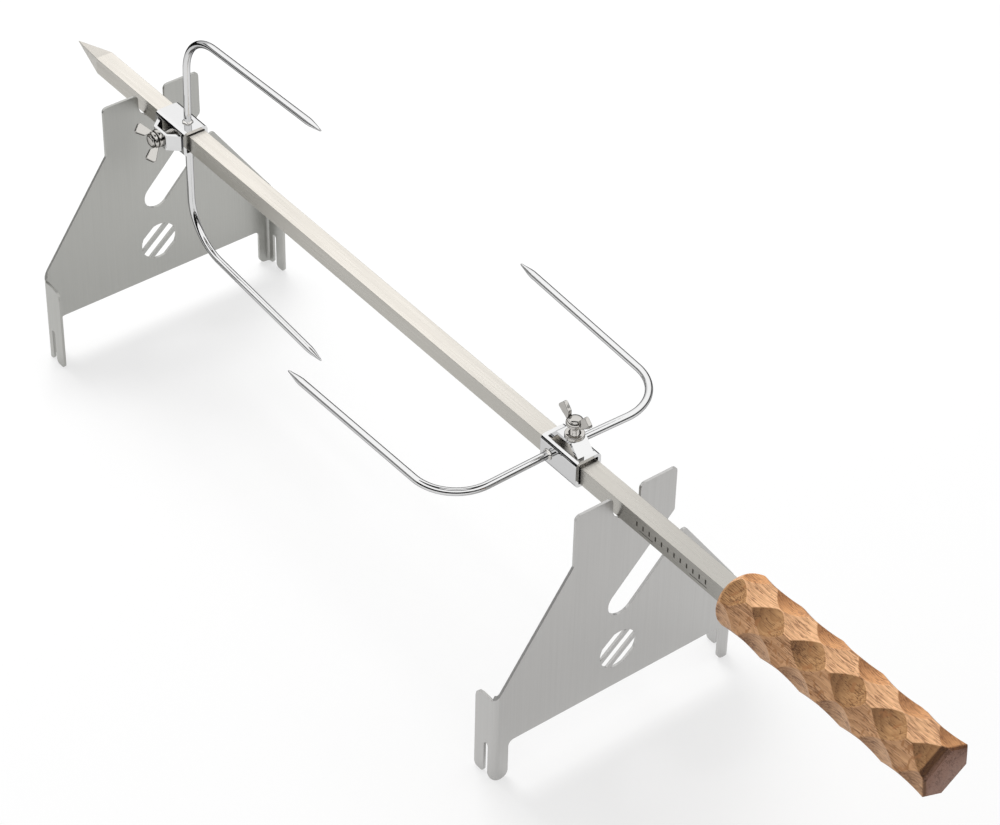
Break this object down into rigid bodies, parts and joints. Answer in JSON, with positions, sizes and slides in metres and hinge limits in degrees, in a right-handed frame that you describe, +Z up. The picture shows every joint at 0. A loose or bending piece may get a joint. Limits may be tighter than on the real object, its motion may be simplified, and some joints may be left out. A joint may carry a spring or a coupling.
{
  "type": "rotisserie spit roaster",
  "caption": "Campfire rotisserie: a square steel spit with a faceted wooden handle and sliding clamp-on forks, resting in the notches of folded sheet-steel stands.",
  "frame": {"origin": "on the ground, under the middle of the spit and between the sides of the stands", "axes": "+X along the spit from its point to its handle, +Y across the stands towards the mouths of their slanting slots, +Z up"},
  "size_m": [0.686, 0.1476, 0.2121],
  "materials": {
    "spit_steel": "bright, ground lengthwise",
    "stand_steel": "fine vertical brushing, bright cut edges",
    "fork_chrome": "polished plate",
    "clamp_steel": "polished",
    "weld_metal": "plated bead",
    "handle_wood": "bare oiled beech, faceted"
  },
  "bodies": {
    "stand_far": {"stand_far": "stand_steel"},
    "stand_near": {"stand_near": "stand_steel"},
    "spit": {"spit_bar": "spit_steel", "handle": "handle_wood"},
    "fork_far": {"fork_far_sleeve": "fork_chrome", "fork_far_prong_a": "fork_chrome", "fork_far_prong_b": "fork_chrome", "fork_far_weld_a": "weld_metal", "fork_far_weld_b": "weld_metal", "fork_far_clamp_nut": "clamp_steel"},
    "fork_far_stud": {"fork_far_clamp_stud": "clamp_steel"},
    "fork_far_wings": {"fork_far_wing_head": "clamp_steel"},
    "fork_near": {"fork_near_sleeve": "fork_chrome", "fork_near_prong_a": "fork_chrome", "fork_near_prong_b": "fork_chrome", "fork_near_weld_a": "weld_metal", "fork_near_weld_b": "weld_metal", "fork_near_clamp_nut": "clamp_steel"},
    "fork_near_stud": {"fork_near_clamp_stud": "clamp_steel"},
    "fork_near_wings": {"fork_near_wing_head": "clamp_steel"}
  },
  "joints": [
    {"name": "stand_spacing", "type": "slide", "parent": "stand_far", "child": "stand_near", "axis": [1, 0, 0], "range_m": [-0.01, 0.05]},
    {"name": "spit_spin", "type": "hinge", "parent": "stand_far", "child": "spit", "pos_m": [0, 0, 0.1385], "axis": [1, 0, 0], "continuous": true},
    {"name": "fork_far_slide", "type": "slide", "parent": "spit", "child": "fork_far", "axis": [1, 0, 0], "range_m": [-0.01, 0.1]},
    {"name": "fork_far_screw_lift", "type": "slide", "parent": "fork_far", "child": "fork_far_stud", "axis": [0, -1, 0], "range_m": [0, 0.0024]},
    {"name": "fork_far_screw_turn", "type": "hinge", "parent": "fork_far_stud", "child": "fork_far_wings", "pos_m": [-0.23975, 0, 0.1385], "axis": [0, -1, 0], "range_deg": [0, 1080]},
    {"name": "fork_near_slide", "type": "slide", "parent": "spit", "child": "fork_near", "axis": [1, 0, 0], "range_m": [-0.1, 0.011]},
    {"name": "fork_near_screw_lift", "type": "slide", "parent": "fork_near", "child": "fork_near_stud", "axis": [0, 0, 1], "range_m": [-0.004, 0.0008]},
    {"name": "fork_near_screw_turn", "type": "hinge", "parent": "fork_near_stud", "child": "fork_near_wings", "pos_m": [0.09165, 0, 0.1385], "axis": [0, 0, 1], "range_deg": [-1800, 360]}
  ],
  "couplings": [
    {"joint": "fork_far_screw_lift", "follows": "fork_far_screw_turn", "m_per_rad": 0.00012732},
    {"joint": "fork_near_screw_lift", "follows": "fork_near_screw_turn", "m_per_rad": 0.00012732}
  ]
}
